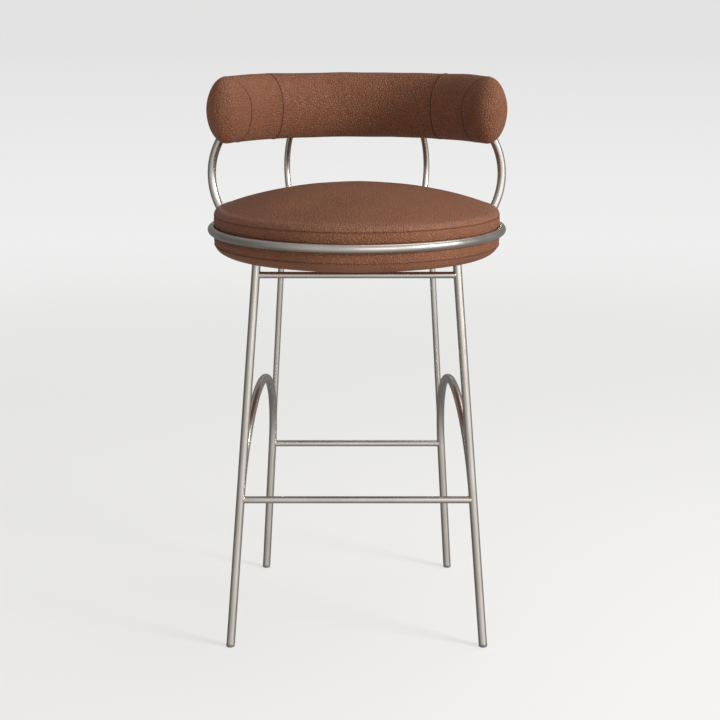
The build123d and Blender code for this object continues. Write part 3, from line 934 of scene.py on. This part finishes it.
glide_low, glide_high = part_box("foot_glide_front_right")
leg_radius = (glide_high.x - glide_low.x) / 2
rail_radius = {name: (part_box(name)[1].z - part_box(name)[0].z) / 2
               for name in ("top_rail", "footrest_rail", "rear_rail")}
thin_radius = rail_radius["top_rail"]
front_foot, front_way = leg_axis("front", "front_leg_right", 1)
rear_foot, rear_way = leg_axis("rear", "rear_strut_right", -1)

loops = []
rails = (("top_rail", front_foot, front_way), ("footrest_rail", front_foot, front_way),
         ("rear_rail", rear_foot, rear_way))
for name, foot, way in rails:
    low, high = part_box(name)
    start = Vector((0, (low.y + high.y) / 2, (low.z + high.z) / 2))
    loops.append(meeting_curve(start, Vector((1, 0, 0)), rail_radius[name], foot, way, leg_radius))

side_upright, rear_upright = 67.2, 27.7    # degrees round the hoop from the back
upright_start = radians(43.0)  # the uprights leave the hoop this far out from upright
approach = 4 * tube_radius     # where along an upright the search for the joint starts
for angle, radius in ((side_upright, tube_radius), (rear_upright, thin_radius)):
    outwards = Vector((sin(radians(angle)), cos(radians(angle)), 0))
    along = Vector((outwards.y, -outwards.x, 0))
    joint = Vector((0, seat_y, hoop_height)) + outwards * hoop_radius
    rise = outwards * sin(upright_start) + Vector((0, 0, cos(upright_start)))
    loops.append(meeting_curve(joint + rise * approach, -rise, radius, joint, along, tube_radius))
loops += [[Vector((-p.x, p.y, p.z)) for p in loop] for loop in loops]
welds = grow("weld_beads", loops, tubes, {"Radius": 0.8 * MM, "Sides": 8})
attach(welds, "root")

# %% [markdown]
# ### Stitches
# The panels are sewn with their edges turned in, so what shows is a narrow valley between two low
# lips. The stitches lie in the valley, three and a half millimetres apart.

# %% Thread
def make_thread():
    thread = Finish("thread")
    twist = thread.noise(900.0, 2.0)
    colour = thread.blend(twist, (0.050, 0.018, 0.010, 1), (0.110, 0.045, 0.025, 1))
    thread.set(Base_Color=colour, Roughness=0.55 + 0.2 * twist)
    thread.bump(twist, 0.3, 0.0001)
    return thread.material


seat_thread, pad_thread = 0.7 * MM, 1.2 * MM   # how deep the thread lies in each


def seam_ring(side, seam):
    """The bottom of one closed seam of the pad, as a loop round its section."""
    turns = np.arange(pad_columns) * 2 * pi / pad_columns
    return [pad_point(side, seam, turn, pad_thread) for turn in turns]


seams = [circle_points(seat_radius - seat_thread, height, segments)
         for height in (upper_seam, lower_seam)]
seams += [seam_ring(side, seam) for side in (-1, 1) for seam in (inner_seam, outer_seam)]
stitches = grow("seam_stitches", seams, stitch_tree("stitches_on_a_path", make_thread()),
                {"Pitch": 3.5 * MM, "Length": 2.7 * MM, "Thread": 0.7 * MM})
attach(stitches, "root")

# %% [markdown]
# ## The studio
# A pale floor without a visible edge, a large soft light from the front right, a weaker one from the
# front and one from above. The floor glows more the further away it is and fades into the backdrop's
# grey, so that no horizon shows. The world is what the metal mirrors: a bright window to the front
# right, a bright ceiling and a dim room between them, which draws the dark lines along the tubes.
# The camera itself sees only an even pale grey.

# %% Floor
backdrop = (0.768, 0.768, 0.766, 1)
paper_white = (0.930, 0.930, 0.927, 1)


def make_floor():
    count, reach = 96, 40.0
    points = [(0, 0, 0)] + [
        (reach * cos(2 * pi * k / count), reach * sin(2 * pi * k / count), 0) for k in range(count)]
    faces = [(0, 1 + k, 1 + (k + 1) % count) for k in range(count)]
    paper = Finish("floor")
    distance = paper.node("ShaderNodeVectorMath", {"operation": "LENGTH"}, {0: paper.place}, "Value")
    glowing = 0.62 + 0.38 * paper.between(1.2, 5.0, distance)
    tone = paper.blend((distance / (distance + 9.0) * 1.22).at_most(1), paper_white, backdrop)
    glow = paper.node("ShaderNodeEmission", inputs={"Color": tone})
    paper.set(Base_Color=(0.82, 0.82, 0.815, 1), Roughness=0.9, Specular_IOR_Level=0.1)
    mixed = paper.node("ShaderNodeMixShader", inputs={0: glowing, 2: glow})
    mixer = mixed.socket.node
    paper.tree.links.new(paper.shader.outputs[0], mixer.inputs[1])
    paper.tree.links.new(mixer.outputs[0], paper.tree.nodes["Material Output"].inputs["Surface"])
    floor = new_piece("floor", points, faces, paper.material)
    floor.visible_glossy = False
    floor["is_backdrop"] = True


make_floor()

# %% Lights and world
def soft_light(name, place, aim, size, power, colour=(1, 1, 1)):
    """A round area light that the camera doesn't see."""
    data = bpy.data.lights.new(name, "AREA")
    data.shape = "DISK"
    data.size = size
    data.energy = power
    data.color = colour
    light = bpy.data.objects.new(name, data)
    light.location = place
    light.rotation_euler = (Vector(aim) - Vector(place)).to_track_quat("-Z", "Y").to_euler()
    light.visible_camera = False
    bpy.context.scene.collection.objects.link(light)


aim = (0, seat_y, seat_bottom)
soft_light("key_light", (3.0, -1.7, 1.8), aim, 1.2, 100, (1.0, 0.97, 0.94))
soft_light("front_light", (0.9, -3.3, 1.3), aim, 2.2, 9)
soft_light("top_light", (0.9, 0.7, 3.2), aim, 2.0, 12)


def make_world():
    world = bpy.data.worlds.new("studio")
    world.use_nodes = True
    tree = world.node_tree
    tree.nodes.clear()
    add = tree.nodes.new

    place, rays = add("ShaderNodeTexCoord"), add("ShaderNodeLightPath")
    split = add("ShaderNodeSeparateXYZ")
    tree.links.new(place.outputs["Generated"], split.inputs[0])
    across, along, up = (Wire(tree, split.outputs[k]) for k in range(3))
    window = (across * 0.80 - along * 0.58 + up * 0.15).at_least(0)
    above = up.at_least(0)
    front = (along * -1).at_least(0)
    mirrored = Wire(tree, rays.outputs["Is Glossy Ray"])
    light = 0.20 + 0.8 * window**5 + 0.5 * above**1.5 + 0.06 * across
    light = light + mirrored * (0.02 + 0.5 * front**1.5 - 0.25 * above)
    studio, plain = add("ShaderNodeBackground"), add("ShaderNodeBackground")
    studio.inputs["Color"].default_value = (1.0, 0.985, 0.965, 1)
    feed(tree, studio.inputs["Strength"], light.at_least(0.05))
    plain.inputs["Color"].default_value = backdrop
    mixer, out = add("ShaderNodeMixShader"), add("ShaderNodeOutputWorld")
    tree.links.new(rays.outputs["Is Camera Ray"], mixer.inputs[0])
    tree.links.new(studio.outputs[0], mixer.inputs[1])
    tree.links.new(plain.outputs[0], mixer.inputs[2])
    tree.links.new(mixer.outputs[0], out.inputs["Surface"])
    bpy.context.scene.world = world


make_world()

# %% Print the visual box
low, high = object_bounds()
print("visual box", [round(v, 4) for v in (*low, *high)])
